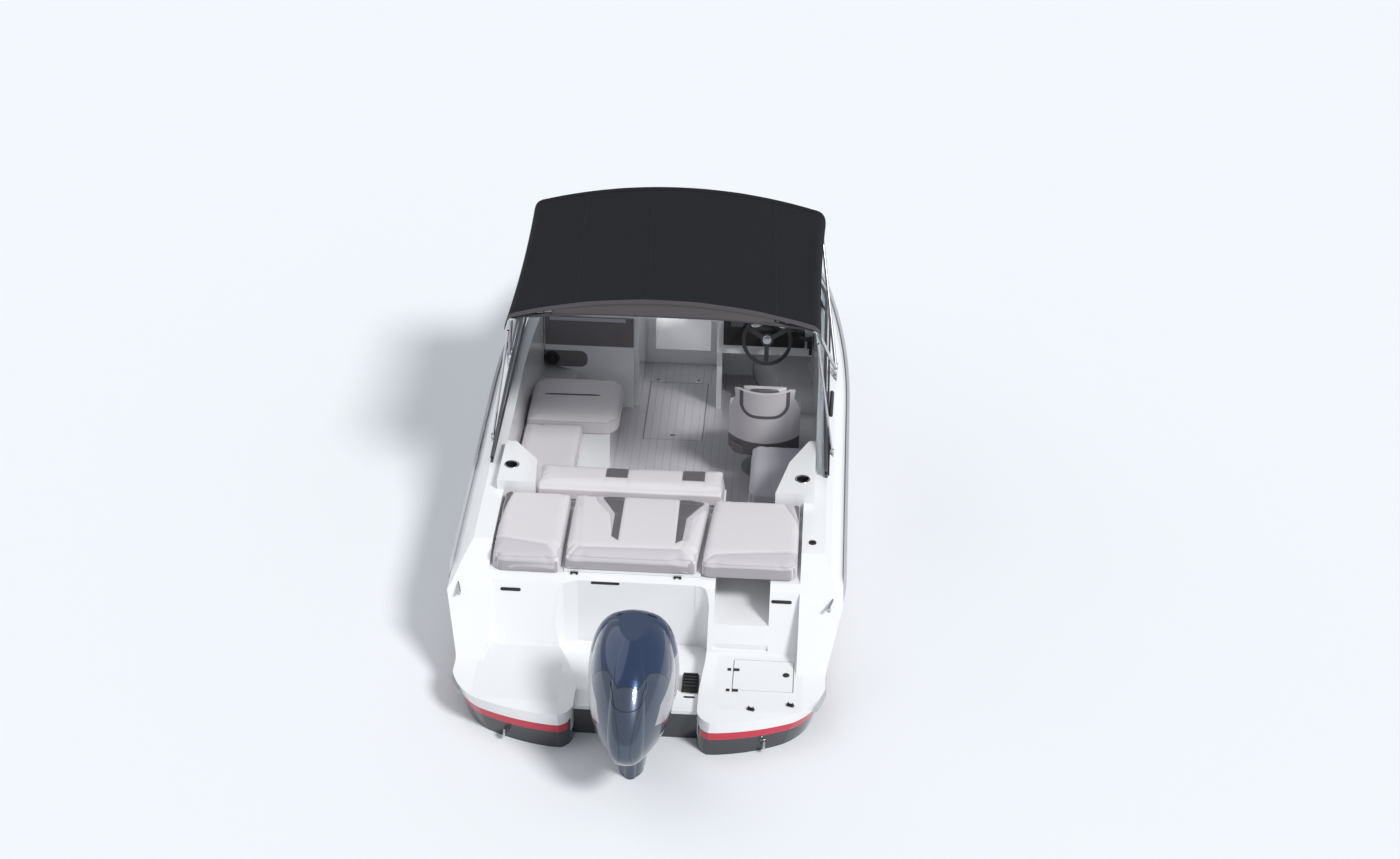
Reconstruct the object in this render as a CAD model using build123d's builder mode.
from build123d import *
from math import cos, radians, sin, tan
import os

# Outboard bowrider. Millimetres. X runs forward from the swim platforms' aft edge, Y to port,
# Z up from the water the boat floats in.

# Overall sizes
beam = 2600.0
hull_length = 6500.0
sheer_height_aft = 545.0          # height of the hull-to-deck joint above the water at the stern
sheer_slope = 0.038               # how much that joint rises for each unit of length forward
hull_depth = 380.0                # keel below the water

# Hull form
bow_start = 3380.0                # where the sides leave the parallel part at the sheer
nose_radius = 600.0
bow_turn_first = radians(12)      # heading at the end of the long side arc
bow_turn_second = radians(45)     # heading at the end of the shoulder arc
lower_drop = 1000.0               # the lower outline lies this far under the sheer plane
side_flare = 310.0                # the sides lean in by this much down to that outline
stem_rake = 500.0                 # and the stem by this much
lower_bow_start = 2700.0
lower_nose_radius = 200.0
stern_corner_x = 460.0
stern_x = 45.0                    # the platforms' aft edges beside the motor
stern_sweep = 145.0               # the platforms' outer ends lie this far forward of the inner
strake_width = 55.0

# Deck form
shoulder_inset = 85.0
shoulder_height = 105.0
deck_inset = 130.0
deck_height = 150.0
coaming_width = 215.0             # from the hull side in to the cockpit opening
bow_coaming_width = 290.0
platform_height = 262.0
pad_recess = 79.5                 # the sun pads' deck lies this far under the deck's edge
sunpad_aft_x = 1040.0
sunpad_fore_x = 1870.0
rail_height = 42.0
rail_depth = 20.0

# Motor well
notch_half = 395.0                # from the centreline to each platform at the transom
notch_corner = 140.0              # radius of the platforms' inner aft corners
transom_x = 225.0
transom_thickness = 180.0
transom_top = 215.0
well_floor = 150.0
well_front_x = 1018.0
well_port = [(640, 478), (830, 562), (925, 594), (994, 528)]      # x, y up to the flare, then its arc
well_starboard = [(700, -418), (920, -424), (990, -402), (1015, -330)]

# Inside
floor_height = 20.0
sole_thickness = 18.0
walk_port_y = -460.0
walk_starboard_y = -820.0
walk_floor = 280.0
walk_start_x = 560.0
walk_step = (830.0, 1560.0, 430.0)            # x limits and height of the step in the passage
walk_overrun = 300.0              # the passage runs this far into the cockpit
ledge_height = 340.0              # the cockpit widens to the coaming above this level
aft_ledge_height = 220.0          # and already above this one aft of aft_ledge_x
aft_ledge_x = 3960.0
floor_plan = [  # x, and how far in from the hull's side the floor ends
    (1870.0, 270.0), (3000.0, 270.0), (3900.0, 420.0), (4250.0, 520.0), (5000.0, 780.0)]
console_aft_x = 4250.0
console_fore_x = 4980.0
aisle_half = 300.0
bow_shelf = 420.0
bow_pit_floor = 145.0
bow_pit_half = 220.0
bow_pit_end = 5620.0
bow_shelf_margin = 370.0          # from the bow seats' shelf to the tip of the bow
seat_height = 350.0               # top of the seat mouldings above the water
cushion_thickness = 105.0
panel_gap = 6.0                   # gap round every lid
seat_gap = 1.5                    # gap between neighbouring cushions and mouldings
locker = (3820.0, 4690.0, -225.0, 235.0)      # x and y limits of the floor locker
locker_depth = 165.0
lid_thickness = 14.0
ladder_lid_box = (415.0, 735.0, -995.0, -610.0)       # x and y limits of the lid over the ladder
ladder_well_floor = 130.0
hatch_well = (1130.0, 1780.0, -290.0, 470.0, 150.0)   # x and y limits and floor under the sun pad

half_beam = beam / 2
lower_half = half_beam - side_flare
lower_length = hull_length - stem_rake
far = 4000.0                      # reaches past the boat in any direction
bow_shelf_end = hull_length - bow_shelf_margin


def sheer(x):
    return sheer_height_aft + sheer_slope * x


def deck_top(x):
    return sheer(x) + deck_height


aft_deck_height = deck_top(sunpad_aft_x) - pad_recess


def sheer_plane(lift=0.0):
    normal = Vector(-sheer_slope, 0, 1).normalized()
    base = Vector(0, 0, sheer_height_aft) + normal * lift
    return Plane(origin=base, x_dir=(1, 0, sheer_slope), z_dir=normal)


def bow_radii(length, half, nose):
    """Two radii that carry a tangent chain of three arcs from the side round to the nose."""
    run = length - nose * (1 - sin(bow_turn_second))
    rise = half - nose * cos(bow_turn_second)
    a, b = sin(bow_turn_first), sin(bow_turn_second) - sin(bow_turn_first)
    c, d = 1 - cos(bow_turn_first), cos(bow_turn_first) - cos(bow_turn_second)
    scale = a * d - b * c
    return (run * d - b * rise) / scale, (a * rise - c * run) / scale


def plan_outline(plane, half, length, start, nose, inset=0.0):
    """A closed plan outline with a swept stern, straight sides and a three-arc bow."""
    first, second = bow_radii(length - start, half, nose)
    first, second, nose = first - inset, second - inset, nose - inset
    side = half - inset
    stern = stern_x + inset
    inner = (stern, notch_half + notch_corner - 15.0 - inset * 0.4)
    outer = (stern + stern_sweep, half - 180.0 - inset)
    middle = ((inner[0] * 2 + outer[0]) / 3, (inner[1] + outer[1]) / 2)
    knee = (start + first * sin(bow_turn_first), side - first * (1 - cos(bow_turn_first)))
    turn = cos(bow_turn_first) - cos(bow_turn_second)
    reach = sin(bow_turn_second) - sin(bow_turn_first)
    cheek = (knee[0] + second * reach, knee[1] - second * turn)
    with BuildSketch(plane) as outline:
        with BuildLine():
            with BuildLine() as port_side:
                Line((stern - 15.0, 0), inner)
                ThreePointArc(inner, middle, outer)
                end = Line(outer, (outer[0] + 12, outer[1] + 16)) @ 1
                TangentArc(end, (stern_corner_x + inset, side), tangent=(0.6, 0.8))
                Line((stern_corner_x + inset, side), (start, side))
                TangentArc((start, side), knee, tangent=(1, 0))
                TangentArc(knee, cheek, tangent=(cos(bow_turn_first), -sin(bow_turn_first)))
                TangentArc(cheek, (length - inset, 0),
                           tangent=(cos(bow_turn_second), -sin(bow_turn_second)))
            mirror(port_side.line, about=Plane.XZ)
        make_face()
    return outline.sketch


def sheer_outline(lift=0.0, inset=0.0):
    return plan_outline(sheer_plane(lift), half_beam, hull_length, bow_start, nose_radius, inset)


def lower_outline(inset=0.0):
    return plan_outline(sheer_plane(-lower_drop), lower_half, lower_length, lower_bow_start,
                        lower_nose_radius, inset)


def block(x0, x1, y0, y1, z0, z1, mode=Mode.ADD):
    """A box between two corners, in the part that is being built."""
    with Locations(((x0 + x1) / 2, (y0 + y1) / 2, (z0 + z1) / 2)):
        Box(abs(x1 - x0), abs(y1 - y0), abs(z1 - z0), mode=mode)


# Outer form of hull and deck together
with BuildPart() as topsides:
    loft([lower_outline(), sheer_outline()], ruled=True)

bottom_stations = [  # x, keel height, deadrise in degrees
    (-200, -hull_depth, 19),
    (3200, -hull_depth, 20),
    (4300, -hull_depth + 30, 21),
    (5000, -hull_depth + 105, 24),
    (5600, -hull_depth + 230, 28),
    (6100, -hull_depth + 420, 33),
    (hull_length + 200, -hull_depth + 760, 38),
]


def bottom_section(x, keel, deadrise):
    reach = 1500.0
    edge = keel + reach * tan(radians(deadrise))
    with BuildSketch(Plane.YZ.offset(x)) as section:
        with BuildLine():
            Polyline((0, keel), (reach, edge), (reach, 2200), (-reach, 2200), (-reach, edge), close=True)
        make_face()
    return section.sketch


with BuildPart() as bottom_form:
    loft([bottom_section(*station) for station in bottom_stations], ruled=True)

joint_dip_x = 1260.0              # aft of here the joint dips to the swim platforms
joint_dip = [  # x, z: the dipping stretch of the hull-to-deck joint in side view
    (joint_dip_x, sheer(joint_dip_x)),
    (1090, sheer(1090) - 45),
    (800, platform_height - 60),
    (-400, platform_height - 75),
]
joint_dip_radius = 150.0


def joint_line():
    """The whole joint in side view, from ahead of the bow to behind the stern."""
    ahead = hull_length + 500
    Line((ahead, sheer(ahead)), joint_dip[0])
    return FilletPolyline(*joint_dip, radius=joint_dip_radius)


def under_joint(low=-1500):
    """A face in side view that holds everything under the hull-to-deck joint."""
    ahead = hull_length + 500
    with BuildSketch(Plane.XZ) as face:
        with BuildLine():
            dip = joint_line()
            Polyline(dip @ 1, (-400, low), (ahead, low), (ahead, sheer(ahead)))
        make_face()
    return face.sketch


def over_joint(high=2000):
    """A face in side view that holds everything over the dipping stretch of the joint."""
    with BuildSketch(Plane.XZ) as face:
        with BuildLine():
            dip = FilletPolyline(*joint_dip, radius=joint_dip_radius)
            Polyline(dip @ 1, (-400, high), (joint_dip_x, high), joint_dip[0])
        make_face()
    return face.sketch


def notch_plan(z):
    """The gap between the platforms in plan, as a face at height z."""
    corner_x, corner_y = stern_x + notch_corner, notch_half + notch_corner
    middle = (corner_x - notch_corner * cos(radians(45)), corner_y - notch_corner * sin(radians(45)))
    with BuildSketch(Plane.XY.offset(z)) as plan:
        with BuildLine():
            with BuildLine() as half:
                Polyline((-500, 0), (-500, corner_y), (stern_x, corner_y))
                ThreePointArc((stern_x, corner_y), middle, (corner_x, notch_half))
                Polyline((corner_x, notch_half), (transom_x, notch_half), (transom_x, 0))
            mirror(half.line, about=Plane.XZ)
        make_face()
    return plan.sketch


def well_plan(z):
    """The splash well ahead of the transom in plan, as a face at height z."""
    aft_x = transom_x + transom_thickness
    with BuildSketch(Plane.XY.offset(z)) as plan:
        with BuildLine():
            Polyline((aft_x, -notch_half), (aft_x, notch_half), well_port[0], well_port[1])
            ThreePointArc(*well_port[1:])
            Polyline(well_port[3], (well_front_x, well_port[3][1] - 80),
                     (well_front_x, well_starboard[3][1]), well_starboard[3])
            ThreePointArc(*well_starboard[:0:-1])
            Polyline(well_starboard[1], well_starboard[0], (aft_x, -notch_half))
        make_face()
    return plan.sketch


def cut_well_and_cockpit():
    """Take the motor well, the walk-through, the cockpit and the bow well out of a part."""
    passage = (walk_starboard_y, walk_port_y)
    extrude(to_extrude=notch_plan(-1200), amount=3200, dir=(0, 0, 1), mode=Mode.SUBTRACT)
    block(transom_x - 1, transom_x + transom_thickness, -notch_half, notch_half, transom_top, 2000,
          mode=Mode.SUBTRACT)
    extrude(to_extrude=well_plan(well_floor), amount=2000, dir=(0, 0, 1), mode=Mode.SUBTRACT)
    block(walk_start_x, walk_step[0], *passage, walk_floor, 2000, mode=Mode.SUBTRACT)
    block(walk_step[0], walk_step[1], *passage, walk_step[2], 2000, mode=Mode.SUBTRACT)
    block(walk_step[1], sunpad_fore_x + walk_overrun, *passage, walk_floor, 2000, mode=Mode.SUBTRACT)
    add(cockpit_room(0), mode=Mode.SUBTRACT)
    extrude(to_extrude=bow_plan(0, console_fore_x, bow_shelf_end, bow_shelf), amount=2000,
            dir=(0, 0, 1), mode=Mode.SUBTRACT)
    block(console_fore_x, bow_pit_end, -bow_pit_half, bow_pit_half, bow_pit_floor, 2000,
          mode=Mode.SUBTRACT)
    block(*hatch_well[:4], hatch_well[4], 2000, mode=Mode.SUBTRACT)
    block(*locker[:4], floor_height - locker_depth, floor_height, mode=Mode.SUBTRACT)
    block(ladder_lid_box[0] + 20, ladder_lid_box[1] - 20, ladder_lid_box[2] + 20, ladder_lid_box[3] - 20,
          ladder_well_floor, 400, mode=Mode.SUBTRACT)


def bow_plan(inset, x0, x1, z):
    """The bow well's outline in plan between two stations, as a face at height z."""
    outline = plan_outline(Plane.XY.offset(z), half_beam, hull_length, bow_start, nose_radius,
                           bow_coaming_width + inset)
    with BuildSketch(Plane.XY.offset(z)) as window:
        with Locations(((x0 + x1) / 2, 0)):
            Rectangle(x1 - x0, beam)
    return outline & window.sketch


def cockpit_room(clearance):
    """The space inside the cockpit's walls, less a clearance, as a part."""
    aft, fore = sunpad_fore_x + clearance, console_fore_x + 20 - clearance
    low = floor_height - sole_thickness
    half_points = [(min(max(x, aft), fore), half_beam - inset - clearance) for x, inset in floor_plan]
    points = half_points + [(x, -y) for x, y in reversed(half_points)]
    tiers = [  # ledge height, foremost x
        (ledge_height + clearance, fore),
        (aft_ledge_height + clearance, aft_ledge_x - clearance),
    ]
    with BuildPart() as room:
        with BuildSketch(Plane.XY.offset(low)) as floor:
            with BuildLine():
                Polyline(*points, close=True)
            make_face()
        extrude(to_extrude=floor.sketch, amount=2000, dir=(0, 0, 1))
        for height, end in tiers:
            outline = plan_outline(Plane.XY.offset(height), half_beam, hull_length, bow_start,
                                   nose_radius, coaming_width + clearance)
            with BuildSketch(Plane.XY.offset(height)) as window:
                with Locations(((aft + end) / 2, 0)):
                    Rectangle(end - aft, beam)
            extrude(to_extrude=outline & window.sketch, amount=2000, dir=(0, 0, 1))
    return room.part


strake_stations = (330.0, 640.0)   # distance of each strake's inner edge from the keel
strake_run = (260.0, 3900.0)


def strake_section(side, inner):
    """A flat-bottomed spray strake that stands on the deadrise, in the YZ plane."""
    slope = tan(radians(bottom_stations[0][2]))
    root = -hull_depth + inner * slope
    outer = inner + strake_width
    with BuildSketch(Plane.YZ.offset(strake_run[0])) as section:
        with BuildLine():
            Polyline((side * inner, root), (side * outer, root - 3), (side * outer, root + 45),
                     (side * inner, root + 30), close=True)
        make_face()
    return section.sketch


with BuildPart() as hull_moulding:
    add(topsides)
    add(bottom_form, mode=Mode.INTERSECT)
    extrude(to_extrude=under_joint(), amount=beam, both=True, mode=Mode.INTERSECT)
    for side in (1, -1):
        for inner in strake_stations:
            extrude(to_extrude=strake_section(side, inner), amount=strake_run[1] - strake_run[0],
                    dir=(1, 0, 0))
    cut_well_and_cockpit()

# The mouldings are divided where their bulkheads stand
port_strip_y = 605.0              # outboard of the splash well's flare
starboard_strip_y = -440.0        # between the splash well and the passage
floor_level = floor_height - sole_thickness


def keep(x0=-far, x1=2 * far, y0=-far, y1=far, z0=-far, z1=far):
    """Keep only what lies inside these limits of the part that is being built."""
    block(x0, x1, y0, y1, z0, z1, mode=Mode.INTERSECT)


def drop(x0=-far, x1=2 * far, y0=-far, y1=far, z0=-far, z1=far):
    """Take away what lies inside these limits of the part that is being built."""
    block(x0, x1, y0, y1, z0, z1, mode=Mode.SUBTRACT)


with BuildPart() as hull_pods:
    add(hull_moulding)
    keep(x1=transom_x)
hull_pods.part.label = "hull_pods"

with BuildPart() as hull_bottom:
    add(hull_moulding)
    keep(x0=transom_x, z1=floor_level)
hull_bottom.part.label = "hull_bottom"

with BuildPart() as hull_middle:
    add(hull_moulding)
    keep(x0=transom_x, x1=sunpad_fore_x, y0=starboard_strip_y, y1=port_strip_y, z0=floor_level)
hull_middle.part.label = "hull_middle"

with BuildPart() as hull_quarters:
    add(hull_moulding)
    keep(x0=transom_x, x1=sunpad_fore_x, z0=floor_level)
    drop(y0=starboard_strip_y, y1=port_strip_y)
hull_quarters.part.label = "hull_quarters"

with BuildPart() as hull_sides:
    add(hull_moulding)
    keep(x0=sunpad_fore_x, x1=console_fore_x + 20, z0=floor_level)
hull_sides.part.label = "hull_sides"

with BuildPart() as hull_bow:
    add(hull_moulding)
    keep(x0=console_fore_x + 20, z0=floor_level)
hull_bow.part.label = "hull_bow"

# Deck moulding: gunwales, aft deck, swim platforms and foredeck
slope_foot_x = 620.0
slope_top_x = 960.0
aft_wall_foot_x = 800.0            # the aft bulkhead under the sun pads rises from here
aft_wall_top_x = 1010.0
recess_port_y = 1040.0
recess_starboard_y = -1015.0
wing_height = 840.0
wing_depth = 200.0
wing_outer = half_beam - coaming_width
port_wing = [(sunpad_fore_x, 820), (2160, 840), (2385, 1010), (2385, wing_outer),
             (sunpad_fore_x, wing_outer)]
starboard_wing = [(sunpad_fore_x, -820), (2270, -905), (2560, -1035), (2560, -wing_outer),
                  (sunpad_fore_x, -wing_outer)]
cup_radius = 42.0
cup_depth = 75.0
cup_spots = [(2080.0, 1008.0), (2060.0, -1000.0)]
light_spot = (1420.0, -1085.0)     # socket for the stern light's pole
light_radius = 9.0
light_depth = 60.0
light_body = 40.0                 # square body of the socket, let into the deck
light_flange = 26.0
light_flange_height = 5.0

with BuildSketch(Plane.XZ) as over_stern:
    with BuildLine():
        aft_slope = FilletPolyline((-400, platform_height), (slope_foot_x, platform_height),
                                   (slope_top_x, aft_deck_height - 40), (1300, deck_top(1300)),
                                   radius=110)
        Polyline(aft_slope @ 1, (1300, 2000), (-400, 2000), aft_slope @ 0)
    make_face()

with BuildSketch(Plane.XZ) as over_platform:
    with BuildLine():
        aft_wall = FilletPolyline((-400, platform_height), (aft_wall_foot_x, platform_height),
                                  (aft_wall_top_x, aft_deck_height), (1040, aft_deck_height), radius=14)
        Polyline(aft_wall @ 1, (1040, 2000), (-400, 2000), aft_wall @ 0)
    make_face()

with BuildPart() as stern_block:
    extrude(to_extrude=over_joint(), amount=beam, both=True)
    add(topsides, mode=Mode.INTERSECT)

with BuildPart() as deck_moulding:
    loft([sheer_outline(), sheer_outline(shoulder_height, shoulder_inset)], ruled=True)
    loft([sheer_outline(shoulder_height, shoulder_inset), sheer_outline(deck_height, deck_inset)],
         ruled=True)
    add(stern_block)
    extrude(to_extrude=over_stern.sketch, amount=beam, both=True, mode=Mode.SUBTRACT)
    extrude(to_extrude=over_platform.sketch, amount=-recess_starboard_y, both=True, mode=Mode.SUBTRACT)
    block(sunpad_aft_x - 60, sunpad_fore_x + 60, recess_starboard_y, recess_port_y, aft_deck_height, 2000,
          mode=Mode.SUBTRACT)
    cut_well_and_cockpit()
    block(light_spot[0] - light_body / 2, light_spot[0] + light_body / 2,
          light_spot[1] - light_body / 2, light_spot[1] + light_body / 2,
          deck_top(light_spot[0]) - light_depth - 2, 2000, mode=Mode.SUBTRACT)
    block(ladder_lid_box[0] - panel_gap, ladder_lid_box[1] + panel_gap, ladder_lid_box[2] - panel_gap,
          ladder_lid_box[3] + panel_gap, platform_height - lid_thickness - 2, 400, mode=Mode.SUBTRACT)

with BuildPart() as aft_deck:
    add(deck_moulding)
    keep(x1=sunpad_fore_x, y0=starboard_strip_y, y1=port_strip_y)
aft_deck.part.label = "aft_deck"

with BuildPart() as deck_quarters:
    add(deck_moulding)
    keep(x1=sunpad_fore_x)
    drop(y0=starboard_strip_y, y1=port_strip_y)
deck_quarters.part.label = "deck_quarters"

with BuildPart() as side_decks:
    add(deck_moulding)
    keep(x0=sunpad_fore_x, x1=console_fore_x + 20)
side_decks.part.label = "side_decks"

with BuildPart() as foredeck:
    add(deck_moulding)
    keep(x0=console_fore_x + 20)
foredeck.part.label = "foredeck"

# The two shelves beside the aft bench, each with a cup holder
with BuildPart() as cockpit_wings:
    for wing in (port_wing, starboard_wing):
        with BuildSketch(Plane.XY.offset(wing_height - wing_depth)):
            with BuildLine():
                Polyline(*wing, close=True)
            make_face()
        extrude(amount=wing_depth)
    with Locations(*[(x, y, wing_height) for x, y in cup_spots]):
        Hole(cup_radius, cup_depth)
cockpit_wings.part.label = "cockpit_wings"

# Socket for the pole of the stern light
light_top = deck_top(light_spot[0])
with BuildPart() as light_socket:
    with BuildSketch(Plane.XY.offset(light_top - 1)):
        with Locations(light_spot):
            Circle(light_flange)
    extrude(amount=light_flange_height)
    add(deck_moulding, mode=Mode.SUBTRACT)
    block(light_spot[0] - light_body / 2, light_spot[0] + light_body / 2, light_spot[1] - light_body / 2,
          light_spot[1] + light_body / 2, light_top - light_depth - 2, light_top + light_flange_height - 1)
    with Locations((light_spot[0], light_spot[1], light_top + light_flange_height - 1)):
        Hole(light_radius, light_depth)
light_socket.part.label = "light_socket"

# Rub rail round the hull-to-deck joint
with BuildPart() as rub_rail:
    loft([lower_outline(-rail_depth), sheer_outline(0, -rail_depth)], ruled=True)
    extrude(to_extrude=sheer_outline(0, -rail_depth), amount=rail_height, dir=(0, 0, 1))
    add(topsides, mode=Mode.SUBTRACT)
    extrude(to_extrude=sheer_outline(0, 0), amount=rail_height * 2, dir=(0, 0, 1), mode=Mode.SUBTRACT)
    with BuildSketch(Plane.XZ) as rail_band:
        with BuildLine():
            joint_line()
        trace(line_width=rail_height)
    extrude(to_extrude=rail_band.sketch, amount=beam, both=True, mode=Mode.INTERSECT)
    block(-500, 330, -far, far, -far, far, mode=Mode.SUBTRACT)
rub_rail.part.label = "rub_rail"

# Cockpit sole with its locker hatch
sole_margin = 4.0
wall_inner_y = half_beam - coaming_width - sole_margin

room = cockpit_room(sole_margin)

with BuildPart() as cockpit_sole:
    block(sunpad_fore_x, console_fore_x + 20, -half_beam, half_beam, floor_level, floor_height)
    add(room, mode=Mode.INTERSECT)
    block(locker[0], locker[1], locker[2], locker[3], 0, 100, mode=Mode.SUBTRACT)
cockpit_sole.part.label = "cockpit_sole"

with BuildPart() as locker_lid:
    block(locker[0] + panel_gap, locker[1] - panel_gap, locker[2] + panel_gap, locker[3] - panel_gap,
          floor_height - lid_thickness, floor_height)
locker_lid.part.label = "locker_lid"

# Seat mouldings
bench_back_fore = 1975.0
bench_fore_x = 2640.0
lounge_inner_y = 640.0
companion_aft_x = 3300.0
companion_inner_y = 440.0
companion_fore_x = 3920.0
jump_aft_x = 2420.0
jump_fore_x = 3100.0
jump_inner_y = -620.0
moulding_height = seat_height


def seat_moulding(points, height):
    """A seat base of an outline in plan, standing on the sole."""
    with BuildSketch(Plane.XY.offset(floor_height)) as foot:
        with BuildLine():
            Polyline(*points, close=True)
        make_face()
    extrude(to_extrude=foot.sketch, amount=height - floor_height, dir=(0, 0, 1))


with BuildPart() as lounge_base:
    seat_moulding([(sunpad_fore_x + 4, walk_port_y), (bench_fore_x, walk_port_y),
                   (bench_fore_x, lounge_inner_y), (companion_aft_x, lounge_inner_y),
                   (companion_aft_x, companion_inner_y), (companion_fore_x, companion_inner_y),
                   (companion_fore_x, wall_inner_y), (sunpad_fore_x + 4, wall_inner_y)], moulding_height)
    block(sunpad_fore_x + 4, bench_back_fore, walk_port_y, 815, moulding_height - 1, 690)
    add(room, mode=Mode.INTERSECT)
lounge_base.part.label = "lounge_base"

with BuildPart() as jump_seat_base:
    seat_moulding([(jump_aft_x, jump_inner_y), (jump_fore_x, jump_inner_y),
                   (jump_fore_x, -wall_inner_y), (jump_aft_x, -wall_inner_y)], moulding_height)
    add(room, mode=Mode.INTERSECT)
jump_seat_base.part.label = "jump_seat_base"


def cushion(points, z, thickness, soften=24.0):
    """A plain cushion of an outline in plan, with softened upper edges, inside the cockpit's walls."""
    with BuildPart() as pad:
        with BuildSketch(Plane.XY.offset(z)) as shape:
            with BuildLine():
                Polyline(*points, close=True)
            make_face()
            fillet(shape.vertices(), radius=45)
        extrude(amount=thickness)
        fillet(pad.faces().sort_by(Axis.Z)[-1].edges(), radius=soften)
        if z < aft_deck_height:
            add(room, mode=Mode.INTERSECT)
    return pad


def rectangle_points(x0, x1, y0, y1):
    return [(x0, y0), (x1, y0), (x1, y1), (x0, y1)]


wall_gap = 8.0
bench_corners = [
    (bench_back_fore + 60, walk_port_y + 4),
    (bench_fore_x + 20, walk_port_y + 4),
    (bench_fore_x + 20, lounge_inner_y - 10),
    (companion_aft_x - seat_gap, lounge_inner_y - 10),
    (companion_aft_x - seat_gap, wall_inner_y - wall_gap),
    (bench_back_fore + 60, wall_inner_y - wall_gap),
]
bench_cushion = cushion(bench_corners, moulding_height, cushion_thickness)
bench_cushion.part.label = "bench_cushion"
companion_cushion = cushion(rectangle_points(companion_aft_x + seat_gap, companion_fore_x + 30,
                                             companion_inner_y - 70, wall_inner_y - wall_gap),
                            moulding_height, cushion_thickness + 12)
companion_cushion.part.label = "companion_cushion"
jump_cushion = cushion(rectangle_points(jump_aft_x + 4, jump_fore_x + 20, -wall_inner_y + wall_gap,
                                        jump_inner_y + 6), moulding_height, cushion_thickness)
jump_cushion.part.label = "jump_cushion"

# Padded roll along the top of the aft bench's back
roll_aft_x = sunpad_fore_x + seat_gap
roll_fore_x = 2225.0
roll_top = 815.0
roll_port_y = 815.0
roll_foot = seat_height + cushion_thickness + 15
with BuildPart() as bench_roll:
    with BuildSketch(Plane.XZ.offset(-roll_port_y)) as roll_section:
        with BuildLine():
            Polyline((roll_aft_x, 692), (roll_aft_x, roll_top - 20), (roll_aft_x + 90, roll_top),
                     (roll_fore_x - 40, roll_top - 6), (roll_fore_x, 700), (2080, 640), (2030, roll_foot),
                     (bench_back_fore + 1, roll_foot), (bench_back_fore + 1, 692), close=True)
        make_face()
    extrude(to_extrude=roll_section.sketch, amount=roll_port_y - walk_port_y, dir=(0, -1, 0))
bench_roll.part.label = "bench_roll"

# Sun pads and the hatch that carries the middle one
pad_thickness = 130.0
hatch_board = 14.0
pad_joint_port = 556.0
pad_joint_starboard = -372.0
pad_fore_x = sunpad_fore_x - 12
hatch_fore_x = pad_fore_x - 20

port_pad_corners = rectangle_points(sunpad_aft_x + 6, pad_fore_x, pad_joint_port + 5, recess_port_y - 10)
sunpad_port = cushion(port_pad_corners, aft_deck_height, pad_thickness)
sunpad_port.part.label = "sunpad_port"
sunpad_starboard = cushion(rectangle_points(sunpad_aft_x + 30, pad_fore_x, recess_starboard_y + 12,
                                            pad_joint_starboard - 5),
                           aft_deck_height + 2, pad_thickness - 2)
sunpad_starboard.part.label = "sunpad_starboard"
sunpad_middle = cushion(rectangle_points(sunpad_aft_x + 40, pad_fore_x, pad_joint_starboard + 5,
                                         pad_joint_port - 5),
                        aft_deck_height + 2 + hatch_board, pad_thickness - 2 - hatch_board)
sunpad_middle.part.label = "sunpad_middle"
with BuildPart() as sunpad_hatch:
    block(sunpad_aft_x + 45, hatch_fore_x, pad_joint_starboard + 12, pad_joint_port - 12,
          aft_deck_height + 2, aft_deck_height + 2 + hatch_board)
sunpad_hatch.part.label = "sunpad_hatch"

# Port console with its glovebox, and the helm console with its dash
console_wall = 40.0
console_outer_y = half_beam
glovebox = (4400.0, 400.0, 980.0, 610.0, 820.0)       # back x, y limits and z limits of the recess
glove_lid = 16.0


def console_side(openings):
    """Side view of a console: the whole side panel, or only the dash and the forward bulkhead."""
    top_aft = (console_aft_x + 30, deck_top(console_aft_x + 30))
    top_fore = (console_fore_x, deck_top(console_fore_x))
    if openings:
        return [(console_fore_x, floor_height), top_fore, top_aft, (console_aft_x, 820),
                (console_aft_x, 560), (console_aft_x + 330, 520), (console_fore_x - 130, 330),
                (console_fore_x - 130, floor_height)]
    return [(console_fore_x, floor_height), top_fore, top_aft, (console_aft_x, 820),
            (console_aft_x, 560), (console_aft_x + 60, 400), (console_aft_x + 60, floor_height)]


def console_body(side):
    """The dash, bulkhead and inboard side panel, in the part that is being built."""
    for openings, inner, outer in ((True, aisle_half, console_outer_y),
                                   (False, aisle_half, aisle_half + console_wall)):
        with BuildSketch(Plane.XZ) as view:
            with BuildLine():
                Polyline(*console_side(openings), close=True)
            make_face()
        start = view.sketch.moved(Location((0, side * inner, 0)))
        extrude(to_extrude=start, amount=outer - inner, dir=(0, side, 0))


with BuildPart() as port_console:
    console_body(1)
    add(room, mode=Mode.INTERSECT)
    block(console_aft_x - 1, glovebox[0], glovebox[1], glovebox[2], glovebox[3], glovebox[4],
          mode=Mode.SUBTRACT)
port_console.part.label = "port_console"

with BuildPart() as glovebox_lid:
    block(console_aft_x - glove_lid - 2, console_aft_x - 2, glovebox[1] - 60, glovebox[2] + 40,
          glovebox[3] - 30, glovebox[4] + 8)
glovebox_lid.part.label = "glovebox_lid"

with BuildPart() as helm_console:
    console_body(-1)
    add(room, mode=Mode.INTERSECT)
helm_console.part.label = "helm_console"

# Instrument hood over the wheel
helm_y = -685.0
hood_aft_x = 4215.0
with BuildPart() as dash_panel:
    with BuildSketch(Plane.XZ) as hood_side:
        with BuildLine():
            Polyline((console_aft_x - 1, 640), (hood_aft_x, 650), (hood_aft_x + 5, 790),
                     (4300, 930), (4560, 945), (4560, deck_top(4560) + 1),
                     (console_aft_x + 30, deck_top(console_aft_x + 30) + 1),
                     (console_aft_x - 1, 820), close=True)
        make_face()
    extrude(to_extrude=hood_side.sketch.moved(Location((0, -970, 0))), amount=620, dir=(0, 1, 0))
dash_panel.part.label = "dash_panel"

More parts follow.
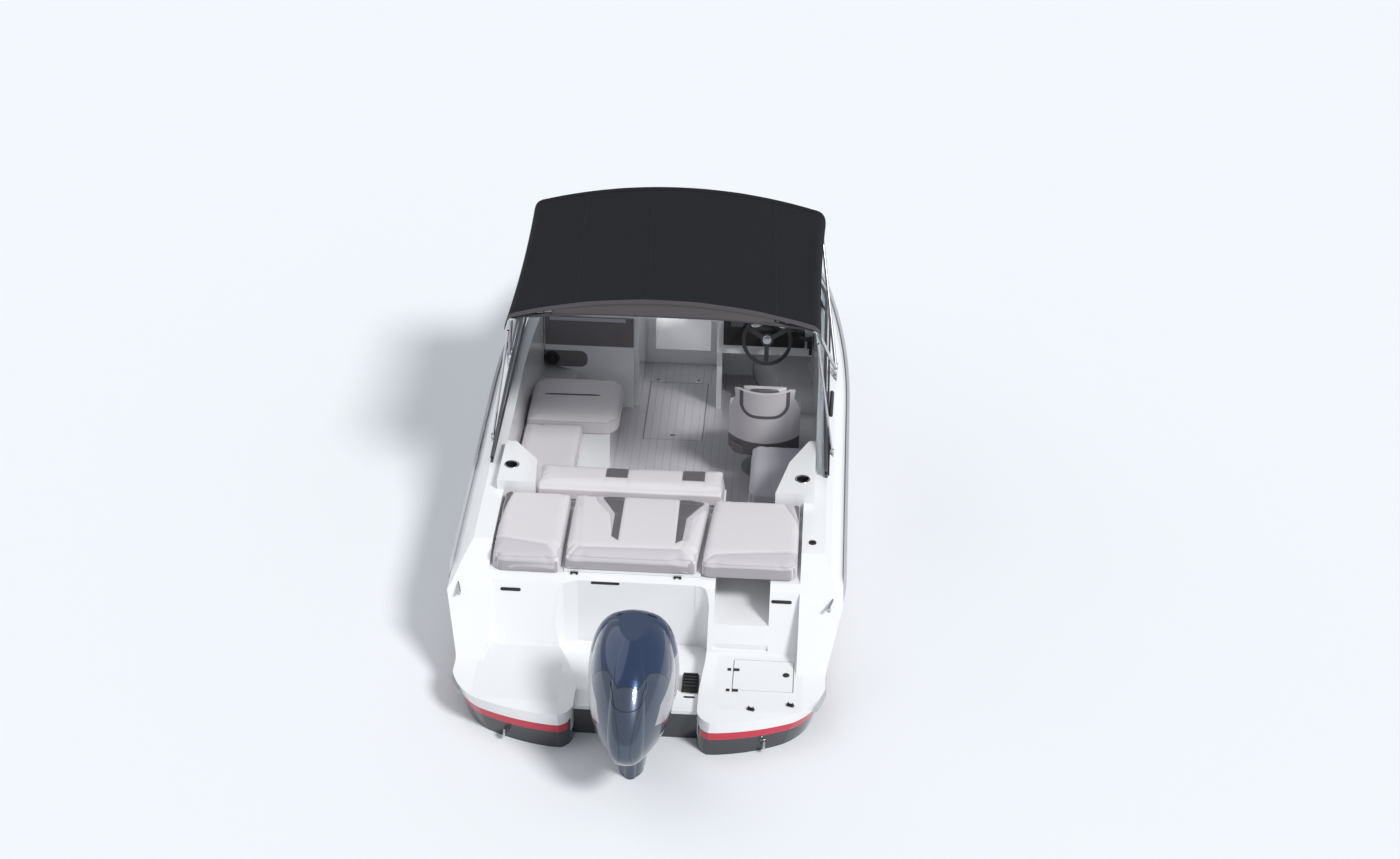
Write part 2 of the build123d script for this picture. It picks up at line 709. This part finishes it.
wheel_radius = 178.0
wheel_rim = 14.0
wheel_rake = radians(28)
wheel_plane = Plane(origin=(4105, helm_y, 770), x_dir=(0, 1, 0),
                    z_dir=(-cos(wheel_rake), 0, sin(wheel_rake)))
with BuildPart() as steering_wheel:
    with BuildSketch(wheel_plane):
        Circle(wheel_radius + wheel_rim)
        Circle(wheel_radius - wheel_rim, mode=Mode.SUBTRACT)
    extrude(amount=wheel_rim, both=True)
    with BuildSketch(wheel_plane):
        Circle(48)
        for turn in (90, 210, 330):
            with PolarLocations(0, 1, turn):
                with Locations((wheel_radius / 2, 0)):
                    Rectangle(wheel_radius, 34)
    extrude(amount=9, both=True)
    with BuildSketch(wheel_plane):
        Circle(24)
    extrude(amount=-60)
steering_wheel.part.label = "steering_wheel"

with BuildPart() as steering_column:
    with BuildSketch(wheel_plane.offset(-60.5)):
        Circle(46)
    extrude(amount=-60)
    add(dash_panel, mode=Mode.SUBTRACT)
steering_column.part.label = "steering_column"

with BuildPart() as throttle:
    block(4130, 4210, -1028, -1006, 640, 760)
    with BuildSketch(Plane.XZ.offset(970)):
        with Locations((4165, 760)):
            Circle(16)
    extrude(amount=40, both=True)
    block(4156, 4174, -1010, -990, 680, 770)
throttle.part.label = "throttle"

# Windshield: a raked wrap of glass in a light frame, with a door in the middle
glass_thickness = 6.0
frame_thickness = 20.0
frame_width = 28.0
wind_foot = 14.0                   # the base rail's middle stands this much over the deck
wind_base_z = 740.0
wind_top_z = 1270.0
wind_aft_x = 2185.0
wind_door_half = 290.0
wind_corner_post_x = 4480.0
wind_inset = 122.0                 # from the hull's side to the glass at the deck
wind_lean = 60.0                   # the glass leans in by this much to its top
# side y, side end x, corner x and y, front x
wind_base = (half_beam - wind_inset, 4300.0, 5000.0, 560.0, 5070.0)
wind_top = (half_beam - wind_inset - wind_lean, 3960.0, 4600.0, 520.0, 4665.0)
wind_top_line = [(wind_aft_x, 838), (2450, 930), (2950, 1060), (4300, 1200), (5100, 1245)]


def wind_outline(z, form, inset):
    """The windshield in plan at height z, closed across its open aft end."""
    side_y, side_x, corner_x, corner_y, front_x = form
    with BuildSketch(Plane.XY.offset(z)) as outline:
        with BuildLine():
            with BuildLine() as half:
                Line((wind_aft_x - 40, 0), (wind_aft_x - 40, side_y - inset))
                Line((wind_aft_x - 40, side_y - inset), (side_x, side_y - inset))
                TangentArc((side_x, side_y - inset), (corner_x - inset, corner_y), tangent=(1, 0))
                ThreePointArc((corner_x - inset, corner_y),
                              ((corner_x * 0.28 + front_x * 0.72) - inset, corner_y * 0.5),
                              (front_x - inset, 0))
            mirror(half.line, about=Plane.XZ)
        make_face()
    return outline.sketch


def wind_shell(outer, inner):
    """A thin wrap between two insets of the windshield's form, in the part that is being built."""
    loft([wind_outline(wind_base_z, wind_base, outer), wind_outline(wind_top_z, wind_top, outer)],
         ruled=True)
    with BuildPart(mode=Mode.PRIVATE) as core:
        loft([wind_outline(wind_base_z, wind_base, inner), wind_outline(wind_top_z, wind_top, inner)],
             ruled=True)
        block(wind_aft_x - 100, wind_aft_x, -far, far, 0, 2000)
    add(core, mode=Mode.SUBTRACT)


def wind_foot_line():
    return Line((wind_aft_x, deck_top(wind_aft_x) + wind_foot), (5200, deck_top(5200) + wind_foot))


with BuildPart() as windshield_frame:
    wind_shell(0, frame_thickness)
    with BuildSketch(Plane.XZ) as wind_view:
        with BuildLine():
            wind_foot_line()
        trace(line_width=frame_width - 4)
        with BuildLine():
            Polyline(*wind_top_line)
        trace(line_width=frame_width)
    with BuildPart(mode=Mode.PRIVATE) as wind_bands:
        extrude(to_extrude=wind_view.sketch, amount=beam, both=True)
        block(wind_corner_post_x - 17, wind_corner_post_x + 17, -far, far, 800, 1220)
        for side in (1, -1):
            block(wind_corner_post_x, 5200, side * (wind_door_half + panel_gap),
                  side * (wind_door_half + panel_gap + 26), 800, 1230)
    add(wind_bands, mode=Mode.INTERSECT)
    with BuildPart(mode=Mode.PRIVATE) as wind_limits:
        with BuildSketch(Plane.XZ) as wind_profile:
            with BuildLine():
                Polyline((wind_aft_x, deck_top(wind_aft_x) + 2), (5200, deck_top(5200) + 2), (5200, 1262),
                         (4300, 1214), (2950, 1074), (2450, 944), (wind_aft_x, 852), close=True)
            make_face()
        extrude(to_extrude=wind_profile.sketch, amount=beam, both=True)
        block(4200, 5300, -wind_door_half - panel_gap, wind_door_half + panel_gap, 0, 2000,
              mode=Mode.SUBTRACT)
    add(wind_limits, mode=Mode.INTERSECT)
windshield_frame.part.label = "windshield_frame"

with BuildPart() as windshield_glass:
    wind_shell(frame_thickness / 2 - glass_thickness / 2, frame_thickness / 2 + glass_thickness / 2)
    add(wind_limits, mode=Mode.INTERSECT)
    add(windshield_frame, mode=Mode.SUBTRACT)
    with BuildSketch(Plane.XZ) as glass_view:
        with BuildLine():
            Polyline((wind_aft_x, deck_top(wind_aft_x) + 8), (5200, deck_top(5200) + 8), (5200, 1255),
                     (4300, 1207), (2950, 1067), (2450, 937), (wind_aft_x, 845), close=True)
        make_face()
    extrude(to_extrude=glass_view.sketch, amount=beam, both=True, mode=Mode.INTERSECT)
windshield_glass.part.label = "windshield_glass"

door_foot = 925.0
door_top = 1238.0
door_frame_width = 24.0
with BuildPart() as windshield_door:
    wind_shell(0, frame_thickness)
    with BuildPart(mode=Mode.PRIVATE) as door_ring:
        block(4300, 5300, -wind_door_half, wind_door_half, door_foot, door_top)
        block(4200, 5400, -wind_door_half + door_frame_width, wind_door_half - door_frame_width,
              door_foot + door_frame_width, door_top - door_frame_width, mode=Mode.SUBTRACT)
    add(door_ring, mode=Mode.INTERSECT)
windshield_door.part.label = "windshield_door"

with BuildPart() as windshield_door_glass:
    wind_shell(frame_thickness / 2 - glass_thickness / 2, frame_thickness / 2 + glass_thickness / 2)
    with BuildPart(mode=Mode.PRIVATE) as pane:
        block(4200, 5400, -wind_door_half + door_frame_width, wind_door_half - door_frame_width,
              door_foot + door_frame_width, door_top - door_frame_width)
    add(pane, mode=Mode.INTERSECT)
windshield_door_glass.part.label = "windshield_door_glass"

# Bow seats
bow_back_fore = console_fore_x + 130
bow_cushion_thickness = 90.0


with BuildPart() as bow_cushions:
    extrude(to_extrude=bow_plan(wall_gap, bow_back_fore + 2, bow_shelf_end - wall_gap, bow_shelf),
            amount=bow_cushion_thickness, dir=(0, 0, 1))
    block(console_fore_x, bow_pit_end + 12, -bow_pit_half + 12, bow_pit_half - 12, 0, 1000,
          mode=Mode.SUBTRACT)
bow_cushions.part.label = "bow_cushions"

with BuildPart() as bow_backrests:
    for side in (1, -1):
        with BuildSketch(Plane.XZ) as back_side:
            with BuildLine():
                Polyline((console_fore_x + 2, bow_shelf + 1), (bow_back_fore, bow_shelf + 1),
                         (console_fore_x + 85, 850), (console_fore_x + 2, 860), close=True)
            make_face()
        extrude(to_extrude=back_side.sketch.moved(Location((0, side * (aisle_half + 5), 0))),
                amount=440, dir=(0, side, 0))
bow_backrests.part.label = "bow_backrests"

# Helm seat on its swivel pedestal
helm_seat_x = 3485.0
helm_seat_y = -700.0
seat_corner = 70.0


def rounded_slab(x0, x1, half, z0, z1, corner):
    """A slab with rounded corners about the helm seat's centre, in the part that is being built."""
    with BuildSketch(Plane.XY.offset(z0)) as slab:
        with Locations((helm_seat_x + (x0 + x1) / 2, helm_seat_y)):
            RectangleRounded(x1 - x0, 2 * half, corner)
    extrude(to_extrude=slab.sketch, amount=z1 - z0, dir=(0, 0, 1))


with BuildPart() as helm_pedestal:
    with BuildSketch(Plane.XY.offset(floor_height)):
        with Locations((helm_seat_x, helm_seat_y)):
            Circle(165)
    extrude(amount=14)
    with BuildSketch(Plane.XY.offset(floor_height + 14)):
        with Locations((helm_seat_x, helm_seat_y)):
            Circle(45)
    extrude(amount=240)
helm_pedestal.part.label = "helm_pedestal"

shell_z = 276.0
shell_half = 262.0
shell_thickness = 24.0
shell_base = 70.0                  # thickness of the seat's base
shell_rake = 70.0                  # how far aft the back leans at its top
shell_top = 850.0
arm_top = 560.0
back_top = 885.0


def shell_outline(z, inset):
    """The bucket's wrap in plan at height z: a deep U, open to the front."""
    half = shell_half - inset
    lean = shell_rake * (z - shell_z) / (shell_top - shell_z)
    aft = helm_seat_x - shell_half - lean + inset
    with BuildSketch(Plane.XY.offset(z)) as outline:
        with BuildLine():
            Line((helm_seat_x + 150, helm_seat_y - half), (aft + 150, helm_seat_y - half))
            ThreePointArc((aft + 150, helm_seat_y - half), (aft, helm_seat_y),
                          (aft + 150, helm_seat_y + half))
            Line((aft + 150, helm_seat_y + half), (helm_seat_x + 150, helm_seat_y + half))
            Line((helm_seat_x + 150, helm_seat_y + half), (helm_seat_x + 150, helm_seat_y - half))
        make_face()
    return outline.sketch


with BuildPart() as helm_seat_shell:
    loft([shell_outline(shell_z, 0), shell_outline(shell_top, 0)], ruled=True)
    with BuildPart(mode=Mode.PRIVATE) as bucket:
        loft([shell_outline(shell_z - 1, shell_thickness), shell_outline(shell_top + 1, shell_thickness)],
             ruled=True)
    add(bucket, mode=Mode.SUBTRACT)
    block(helm_seat_x + 120, helm_seat_x + 200, -far, far, 0, 2000, mode=Mode.SUBTRACT)
    with BuildSketch(Plane.XZ) as over_arms:
        with BuildLine():
            Polyline((helm_seat_x + 400, 480), (helm_seat_x + 60, arm_top),
                     (helm_seat_x - 140, arm_top + 40), (helm_seat_x - 235, shell_top - 70),
                     (helm_seat_x - 250, 2000), (helm_seat_x + 400, 2000), close=True)
        make_face()
    extrude(to_extrude=over_arms.sketch, amount=far, both=True, mode=Mode.SUBTRACT)
    rounded_slab(-225, 240, shell_half - 26, shell_z, shell_z + shell_base, seat_corner)
helm_seat_shell.part.label = "helm_seat_shell"
with BuildPart() as helm_seat_cushion:
    rounded_slab(-180, 250, 225, shell_z + shell_base + 1, shell_z + 195, seat_corner)
    with BuildSketch(Plane.XZ) as back_pad:
        with BuildLine():
            Polyline((helm_seat_x - 300, shell_z + 100), (helm_seat_x - 110, shell_z + 100),
                     (helm_seat_x - 150, 620), (helm_seat_x - 235, back_top), (helm_seat_x - 420, back_top),
                     close=True)
        make_face()
    extrude(to_extrude=back_pad.sketch.moved(Location((0, helm_seat_y - 190, 0))), amount=380,
            dir=(0, 1, 0))
    with BuildPart(mode=Mode.PRIVATE) as bucket_room:
        loft([shell_outline(shell_z, shell_thickness + 1.5),
              shell_outline(back_top + 1, shell_thickness + 1.5)], ruled=True)
        block(helm_seat_x - 50, helm_seat_x + 400, helm_seat_y - 230, helm_seat_y + 230,
              shell_z, shell_z + 200)
    add(bucket_room, mode=Mode.INTERSECT)
helm_seat_cushion.part.label = "helm_seat_cushion"

# Folding top: canopy and the bows that carry it
canopy_aft_x = 2450.0
canopy_fore_x = 4270.0
canopy_inset = 210.0                # the cover stands in from the rub rail by this much
canopy_half = half_beam - canopy_inset
canopy_crown = 1945.0
canopy_shoulder = 1800.0
canopy_edge = 1690.0
canopy_thickness = 12.0
tube_radius = 12.5
bow_half = canopy_half - canopy_thickness - tube_radius - 4


with BuildPart() as bimini_canopy:
    with BuildSketch(Plane.YZ.offset(canopy_aft_x)) as canopy_section:
        for drop, half, mode in ((0, canopy_half, Mode.ADD),
                                 (canopy_thickness, canopy_half - canopy_thickness, Mode.SUBTRACT)):
            with BuildLine():
                top = ThreePointArc((-half + 70, canopy_shoulder - drop), (0, canopy_crown - drop),
                                    (half - 70, canopy_shoulder - drop))
                port = TangentArc((half - 70, canopy_shoulder - drop), (half, canopy_shoulder - drop - 100),
                                  tangent=top % 1)
                low = canopy_edge if mode == Mode.ADD else canopy_edge - 10
                Polyline(port @ 1, (half, low), (-half, low), (-half, canopy_shoulder - drop - 100))
                TangentArc((-half + 70, canopy_shoulder - drop), (-half, canopy_shoulder - drop - 100),
                           tangent=(top % 0) * -1)
            make_face(mode=mode)
    extrude(to_extrude=canopy_section.sketch, amount=canopy_fore_x - canopy_aft_x, dir=(1, 0, 0))
bimini_canopy.part.label = "bimini_canopy"

bimini_foot = (3600.0, half_beam - 95.0)
bimini_foot_z = deck_top(3600) + 42


def bow_tube(top_x, foot):
    """A bent tube from one gunwale over to the other, in the plane through its feet and its top."""
    foot_x, foot_y, foot_z = foot
    rise = Vector(top_x - foot_x, 0, canopy_shoulder - foot_z)
    plane = Plane(origin=(foot_x, 0, foot_z), x_dir=(0, 1, 0), z_dir=Vector(0, 1, 0).cross(rise))
    stretch = rise.length / rise.Z
    arch = [  # y, z of the bow's corners from the shoulder to the middle, and each corner's radius
        (bow_half, canopy_edge - 10, 120),
        (bow_half - 95, canopy_shoulder - 32, 70),
        (bow_half * 0.45, canopy_crown - 54, 900),
    ]
    side = [(y, (z - foot_z) * stretch) for y, z, radius in arch]
    radii = [radius for y, z, radius in arch]
    points = [(foot_y, 0), *side, *[(-y, z) for y, z in reversed(side)], (-foot_y, 0)]
    with BuildPart() as tube:
        with BuildLine(plane) as path:
            FilletPolyline(*points, radius=radii + radii[::-1])
        with BuildSketch(Plane(origin=path.line @ 0, z_dir=path.line % 0)):
            Circle(tube_radius)
        sweep()
    return tube


bimini_front_bow = bow_tube(canopy_fore_x - 40, (bimini_foot[0], bimini_foot[1], bimini_foot_z))
bimini_rear_bow = bow_tube(canopy_aft_x + 40, (bimini_foot[0] - 60, bimini_foot[1], bimini_foot_z))
bimini_front_bow.part.label = "bimini_front_bow"
bimini_rear_bow.part.label = "bimini_rear_bow"

with BuildPart() as bimini_braces:
    for side in (1, -1):
        foot = Vector(2530, side * (half_beam - 105), deck_top(2530) + 4)
        head = Vector(canopy_aft_x + 26, side * (bow_half + 3), canopy_edge - 16)
        with BuildLine() as brace:
            Line(foot, head)
        with BuildSketch(Plane(origin=foot, z_dir=head - foot)):
            Circle(9)
        extrude(amount=(head - foot).length)
bimini_braces.part.label = "bimini_braces"

# Outboard motor: clamp bracket, swivel bracket, leg, cowl and propeller
tilt_x = 165.0
tilt_z = 285.0
tilt_tube_radius = 15.0
steer_x = 82.0
swivel_radius = 55.0
swivel_low = -150.0
swivel_high = 250.0
plate_half = 100.0                 # the clamp plates' inner faces
plate_thickness = 26.0
antivent_z = transom_top - 635.0
shaft_z = antivent_z - 205.0
gearcase_radius = 52.0
shaft_radius = 15.0
king_pin_radius = 20.0
shaft_fit = 0.06                   # running clearance of pins and shafts, on the radius

with BuildPart() as clamp_bracket:
    for side in (1, -1):
        with BuildSketch(Plane.XZ) as plate_side:
            with BuildLine():
                Polyline((transom_x, -150), (transom_x, 240), (200, 302), (178, 318), (150, 318),
                         (132, 300), (132, 262), (188, 140), (188, -150), close=True)
            make_face()
        start = plate_side.sketch.moved(Location((0, side * plate_half, 0)))
        extrude(to_extrude=start, amount=plate_thickness, dir=(0, side, 0))
    block(transom_x - 14, transom_x, -plate_half, plate_half, -140, -80)
    with BuildSketch(Plane.XZ.offset(-plate_half - plate_thickness)) as tilt_pin:
        with Locations((tilt_x, tilt_z)):
            Circle(tilt_tube_radius)
    extrude(to_extrude=tilt_pin.sketch, amount=2 * (plate_half + plate_thickness), dir=(0, -1, 0))
clamp_bracket.part.label = "clamp_bracket"

with BuildPart() as swivel_bracket:
    with BuildSketch(Plane.XY.offset(swivel_low)) as swivel_post:
        with Locations((steer_x, 0)):
            Circle(swivel_radius)
    extrude(to_extrude=swivel_post.sketch, amount=swivel_high - swivel_low, dir=(0, 0, 1))
    with BuildSketch(Plane.XZ.offset(-plate_half + 3)) as yoke_side:
        with BuildLine():
            Polyline((steer_x + 20, 120), (steer_x + 20, swivel_high), (tilt_x - 22, swivel_high),
                     (tilt_x - 22, tilt_z + 20), (tilt_x + 20, tilt_z + 22), (tilt_x + 24, tilt_z - 20),
                     (tilt_x - 10, 190), close=True)
        make_face()
    extrude(to_extrude=yoke_side.sketch, amount=2 * (plate_half - 3), dir=(0, -1, 0))
    with BuildSketch(Plane.XZ.offset(-plate_half - 50)) as tilt_bore:
        with Locations((tilt_x, tilt_z)):
            Circle(tilt_tube_radius + shaft_fit)
    extrude(to_extrude=tilt_bore.sketch, amount=2 * (plate_half + 50), dir=(0, -1, 0), mode=Mode.SUBTRACT)
    with BuildSketch(Plane.XY.offset(swivel_low - 10)) as king_bore:
        with Locations((steer_x, 0)):
            Circle(king_pin_radius + shaft_fit)
    extrude(to_extrude=king_bore.sketch, amount=swivel_high - swivel_low + 20, dir=(0, 0, 1),
            mode=Mode.SUBTRACT)
swivel_bracket.part.label = "swivel_bracket"


def egg(z, fore, aft, half, shift=0.35):
    """A rounded plan section of the motor, widest a little ahead of its middle."""
    wide_x = fore - (fore - aft) * shift
    nose, tail = half * 0.62, half * 0.42
    with BuildSketch(Plane.XY.offset(z)) as section:
        with BuildLine():
            with BuildLine() as edge:
                ThreePointArc((aft, 0), (aft + tail * 0.2, tail * 0.62), (aft + tail * 0.7, tail))
                ThreePointArc((aft + tail * 0.7, tail), ((wide_x + aft) / 2, half * 0.84), (wide_x, half))
                ThreePointArc((wide_x, half), ((fore * 2 + wide_x) / 3, half * 0.9),
                              (fore - nose * 0.25, nose))
                ThreePointArc((fore - nose * 0.25, nose), (fore - nose * 0.06, nose * 0.5), (fore, 0))
            mirror(edge.line, about=Plane.XZ)
        make_face()
    return section.sketch


cowl_sections = [  # z, foremost x, aftmost x, half width, share of an offset that goes upward
    (335, 200, -470, 170, 0.0),
    (430, 280, -600, 238, 0.0),
    (580, 322, -610, 268, 0.0),
    (730, 322, -520, 262, 0.2),
    (880, 304, -370, 226, 0.6),
    (975, 250, -200, 152, 0.9),
    (1003, 190, -120, 92, 1.0),
]
cowl_foot = 335.0
cowl_wall = 14.0
panel_depth = 3.0                  # the coloured panels are let into the cowl by this much
ridge_height = 4.0
ridge_width = 11.0
cap_outline = [  # x, y round the gloss cap, which ends aft in a V
    (400, 300), (-240, 300), (-250, 212), (-358, 62), (-358, -62), (-250, -212), (-240, -300), (400, -300)]
cap_low = 800.0
flank_outline = [  # x, z round each side panel
    (215, 600), (190, 770), (-60, 775), (-330, 690), (-430, 600), (-330, 560), (-60, 520)]
ridge_line = [(-330, 118), (-480, 82), (-640, 34)]     # x, y of the ridges that run aft from the cap
badge_spot = (-432, 0)             # bare round recess behind the cap
badge_radius = 36.0


def cowl_form(grow):
    """The cowl's outer form, moved out by grow all round."""
    with BuildPart() as form:
        loft([egg(z + grow * lift - (grow < 0 and z == cowl_foot), fore + grow, aft - grow, half + grow)
              for z, fore, aft, half, lift in cowl_sections])
    return form.part


cowl_outer = cowl_form(0)
cowl_under = cowl_form(-panel_depth)
cowl_over = cowl_form(ridge_height)


def cowl_skin(points, base, direction):
    """What the cowl's outermost layer has inside a prism over an outline."""
    with BuildPart(mode=Mode.PRIVATE) as skin:
        with BuildSketch(base) as outline:
            with BuildLine():
                Polyline(*points, close=True)
            make_face()
        extrude(to_extrude=outline.sketch, amount=600, dir=direction)
        add(cowl_outer, mode=Mode.INTERSECT)
        add(cowl_under, mode=Mode.SUBTRACT)
    return skin.part


cowl_cap_skin = cowl_skin(cap_outline, Plane.XY.offset(cap_low), (0, 0, 1))
cowl_flank_skins = [cowl_skin(flank_outline, Plane.XZ, (0, side, 0)) for side in (1, -1)]

with BuildPart() as engine_cowl:
    add(cowl_outer)
    add(cowl_form(-cowl_wall), mode=Mode.SUBTRACT)
    for skin in (cowl_cap_skin, *cowl_flank_skins):
        add(skin, mode=Mode.SUBTRACT)
    for side in (1, -1):
        with BuildPart(mode=Mode.PRIVATE) as ridge:
            with BuildSketch(Plane.XY.offset(cowl_foot + 60)) as ridge_plan:
                with BuildLine():
                    Polyline(*[(x, side * y) for x, y in ridge_line])
                trace(line_width=ridge_width)
            extrude(to_extrude=ridge_plan.sketch, amount=600, dir=(0, 0, 1))
            add(cowl_over, mode=Mode.INTERSECT)
            add(cowl_under, mode=Mode.SUBTRACT)
        add(ridge)
    with BuildPart(mode=Mode.PRIVATE) as badge:
        with BuildSketch(Plane.XY.offset(cap_low - 300)):
            with Locations(badge_spot):
                Circle(badge_radius)
        extrude(amount=600)
        add(cowl_under, mode=Mode.SUBTRACT)
    add(badge, mode=Mode.SUBTRACT)
engine_cowl.part.label = "engine_cowl"

with BuildPart() as cowl_cap:
    add(cowl_cap_skin)
cowl_cap.part.label = "cowl_cap"

with BuildPart() as cowl_flanks:
    for skin in cowl_flank_skins:
        add(skin)
cowl_flanks.part.label = "cowl_flanks"

with BuildPart() as powerhead:
    block(-230, 130, -115, 115, 420, 740)
    block(-200, 60, -75, 75, 335, 421)
powerhead.part.label = "powerhead"

with BuildPart() as engine_leg:
    loft([egg(z, fore, aft, half, 0.4) for z, fore, aft, half in
          [(334, 20, -330, 150), (160, 16, -250, 105), (-180, 14, -215, 66), (antivent_z, 30, -205, 48)]])
    for low, high in ((swivel_high + 2, 334), (swivel_low - 48, swivel_low - 2)):
        with BuildSketch(Plane.XY.offset(low)) as yoke:
            with Locations((steer_x, 0)):
                Circle(swivel_radius)
            with Locations(((steer_x - 60) / 2, 0)):
                Rectangle(steer_x + 60, 2 * swivel_radius)
        extrude(to_extrude=yoke.sketch, amount=high - low, dir=(0, 0, 1))
    with BuildSketch(Plane.XY.offset(swivel_low - 20)) as king_pin:
        with Locations((steer_x, 0)):
            Circle(king_pin_radius)
    extrude(to_extrude=king_pin.sketch, amount=swivel_high - swivel_low + 40, dir=(0, 0, 1))
engine_leg.part.label = "engine_leg"

with BuildPart() as gearcase:
    with BuildSketch(Plane.XZ) as bullet:
        with BuildLine():
            Polyline((-40, shaft_z + gearcase_radius), (-190, shaft_z + gearcase_radius - 6),
                     (-190, shaft_z), (150, shaft_z))
            ThreePointArc((150, shaft_z), (90, shaft_z + gearcase_radius * 0.72),
                          (-40, shaft_z + gearcase_radius))
        make_face()
    revolve(axis=Axis((0, 0, shaft_z), (1, 0, 0)))
    loft([egg(z, fore, aft, half, 0.4) for z, fore, aft, half in
          [(antivent_z, 40, -190, 46), (shaft_z, 90, -150, 30)]])
    with BuildSketch(Plane.XY.offset(antivent_z - 12)) as antivent:
        with BuildLine():
            with BuildLine() as plate_edge:
                Polyline((110, 0), (60, 52), (-170, 78), (-300, 70), (-330, 40), (-330, 0))
            mirror(plate_edge.line, about=Plane.XZ)
        make_face()
    extrude(to_extrude=antivent.sketch, amount=11, dir=(0, 0, 1))
    with BuildSketch(Plane.XZ) as skeg:
        with BuildLine():
            Polyline((60, shaft_z), (20, shaft_z - 150), (-70, shaft_z - 205), (-110, shaft_z - 205),
                     (-100, shaft_z), close=True)
        make_face()
    extrude(to_extrude=skeg.sketch, amount=7, both=True)
    with BuildSketch(Plane.YZ.offset(-191)) as drive_shaft:
        with Locations((0, shaft_z)):
            Circle(shaft_radius)
    extrude(to_extrude=drive_shaft.sketch, amount=150, dir=(-1, 0, 0))
    with BuildSketch(Plane.YZ.offset(-191)) as shaft_root:
        with Locations((0, shaft_z)):
            Circle(shaft_radius)
    extrude(to_extrude=shaft_root.sketch, amount=20, dir=(1, 0, 0))
gearcase.part.label = "gearcase"

blade_stations = [  # radius, chord, thickness
    (36, 110, 12),
    (90, 175, 9),
    (140, 175, 6),
    (172, 110, 3.5),
]
propeller_pitch = 480.0
propeller_x = -252.0
hub_radius = 44.0


def blade_section(radius, chord, thickness):
    """One lens-shaped section of a blade, turned to the pitch at its radius."""
    lead = propeller_pitch / (6.2832 * radius)
    along = Vector(lead, 1, 0).normalized()
    blade_plane = Plane(origin=(propeller_x, 0, shaft_z + radius), x_dir=along, z_dir=(0, 0, 1))
    with BuildSketch(blade_plane) as lens:
        with BuildLine():
            ThreePointArc((-chord / 2, 0), (0, thickness / 2), (chord / 2, 0))
            ThreePointArc((chord / 2, 0), (0, -thickness / 2), (-chord / 2, 0))
        make_face()
    return lens.sketch


with BuildPart() as one_blade:
    loft([blade_section(*station) for station in blade_stations])
with BuildPart() as propeller:
    with BuildSketch(Plane.YZ.offset(-325)) as hub:
        with Locations((0, shaft_z)):
            Circle(hub_radius)
    extrude(to_extrude=hub.sketch, amount=130, dir=(1, 0, 0))
    for turn in (0, 120, 240):
        add(one_blade.part.rotate(Axis((0, 0, shaft_z), (1, 0, 0)), turn))
    with BuildSketch(Plane.YZ.offset(-400)) as hub_bore:
        with Locations((0, shaft_z)):
            Circle(shaft_radius + shaft_fit)
    extrude(to_extrude=hub_bore.sketch, amount=400, dir=(1, 0, 0), mode=Mode.SUBTRACT)
propeller.part.label = "propeller"

# Hatch lid over the boarding ladder in the starboard platform
with BuildPart() as ladder_lid:
    block(*ladder_lid_box, platform_height - lid_thickness, platform_height)
ladder_lid.part.label = "ladder_lid"

# Deck fittings
cleat_spots = [  # x, y, turn of the horn in plan
    (930, half_beam - 78, 14), (930, 78 - half_beam, -14), (5850, 715, -32), (5850, -715, 32)]
with BuildPart() as cleats:
    for x, y, turn in cleat_spots:
        height = deck_top(x) if x > 2000 else 575
        with Locations(Location((x, y, height + 34), (0, 0, turn))):
            Cylinder(9, 150, rotation=(0, 90, 0))
            with Locations((-30, 0, -22), (30, 0, -22)):
                Cylinder(8, 44)
    add(deck_moulding, mode=Mode.SUBTRACT)
cleats.part.label = "cleats"

# Bow eye and stern eyes: plates with a bored hole that stand out of the hull
eye_radius = 12.0
eye_plate = 28.0
eye_thickness = 14.0
eye_spots = [  # x, y, z of the hole, and how far the plate's root reaches into the hull
    (hull_length - 228, 0.0, 250.0, -90.0),
    (115.0, 830.0, 60.0, 150.0),
    (115.0, -830.0, 60.0, 150.0),
]
with BuildPart() as tow_eyes:
    for x, y, z, root in eye_spots:
        with BuildSketch(Plane.XZ.offset(-y)) as eye:
            with Locations((x, z)):
                Circle(eye_plate)
            with Locations((x + root / 2, z)):
                Rectangle(abs(root), eye_plate * 1.4)
            with Locations((x, z)):
                Circle(eye_radius, mode=Mode.SUBTRACT)
        extrude(to_extrude=eye.sketch, amount=eye_thickness / 2, both=True)
    add(hull_moulding, mode=Mode.SUBTRACT)
tow_eyes.part.label = "tow_eyes"

pieces = [
    hull_pods, hull_bottom, hull_middle, hull_quarters, hull_sides, hull_bow, aft_deck, deck_quarters,
    side_decks, foredeck, cockpit_wings, light_socket, rub_rail, cockpit_sole, locker_lid, lounge_base,
    jump_seat_base, bench_cushion, companion_cushion, jump_cushion, bench_roll, sunpad_port,
    sunpad_starboard, sunpad_middle, sunpad_hatch, port_console, glovebox_lid, helm_console, dash_panel,
    steering_wheel, steering_column, throttle, windshield_frame, windshield_glass, windshield_door,
    windshield_door_glass, bow_cushions, bow_backrests, helm_pedestal, helm_seat_shell,
    helm_seat_cushion, bimini_canopy, bimini_front_bow, bimini_rear_bow, bimini_braces, clamp_bracket,
    swivel_bracket, engine_cowl, cowl_cap, cowl_flanks, powerhead, engine_leg, gearcase, propeller,
    ladder_lid, cleats, tow_eyes,
]
os.makedirs("parts", exist_ok=True)
for piece in pieces:
    export_step(piece.part, f"parts/{piece.part.label}.step")
